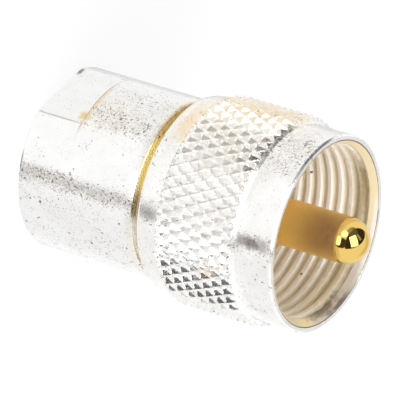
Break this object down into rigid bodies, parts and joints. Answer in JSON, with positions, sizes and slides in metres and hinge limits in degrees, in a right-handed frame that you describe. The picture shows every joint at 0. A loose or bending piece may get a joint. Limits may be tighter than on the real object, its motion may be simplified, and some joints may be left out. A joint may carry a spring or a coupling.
{
  "type": "uhf coaxial plug connector",
  "caption": "Straight coaxial plug: a diamond-knurled coupling nut turns freely round a gold round-nosed pin, ahead of a plain barrel with wrench flats and a cable clamp.",
  "frame": {"origin": "centre of the flat rear face of the rear shell, which the part stands on", "axes": "+Z along the connector towards the mating end and the pin's tip, +X out of one wrench flat"},
  "size_m": [0.0182, 0.0182, 0.0297],
  "materials": {
    "silver_plate": "silver plate over brass, bright, finely pitted and scratched",
    "nut_plate": "silver plate over brass, bright, yellowed in places, warm cream inside the thread",
    "gold_plate": "gold plate, satin on the pin's side and polished on its nose",
    "tarnished_brass": "bare brass, darkened to amber",
    "insulator_white": "white fluoroplastic, waxy",
    "gasket_rubber": "black rubber, matt"
  },
  "bodies": {
    "connector_body": {"rear_shell": "silver_plate", "gland_nut": "silver_plate", "pressure_washer": "silver_plate", "cable_gasket": "gasket_rubber", "braid_clamp": "silver_plate", "front_barrel": "silver_plate", "rear_insulator": "insulator_white", "front_insulator": "insulator_white", "contact_pin": "gold_plate", "thrust_washer": "tarnished_brass"},
    "nut": {"coupling_nut": "nut_plate"}
  },
  "joints": [
    {"name": "coupling_spin", "type": "hinge", "parent": "connector_body", "child": "nut", "pos_m": [0, 0, 0.019], "axis": [0, 0, 1], "continuous": true}
  ]
}
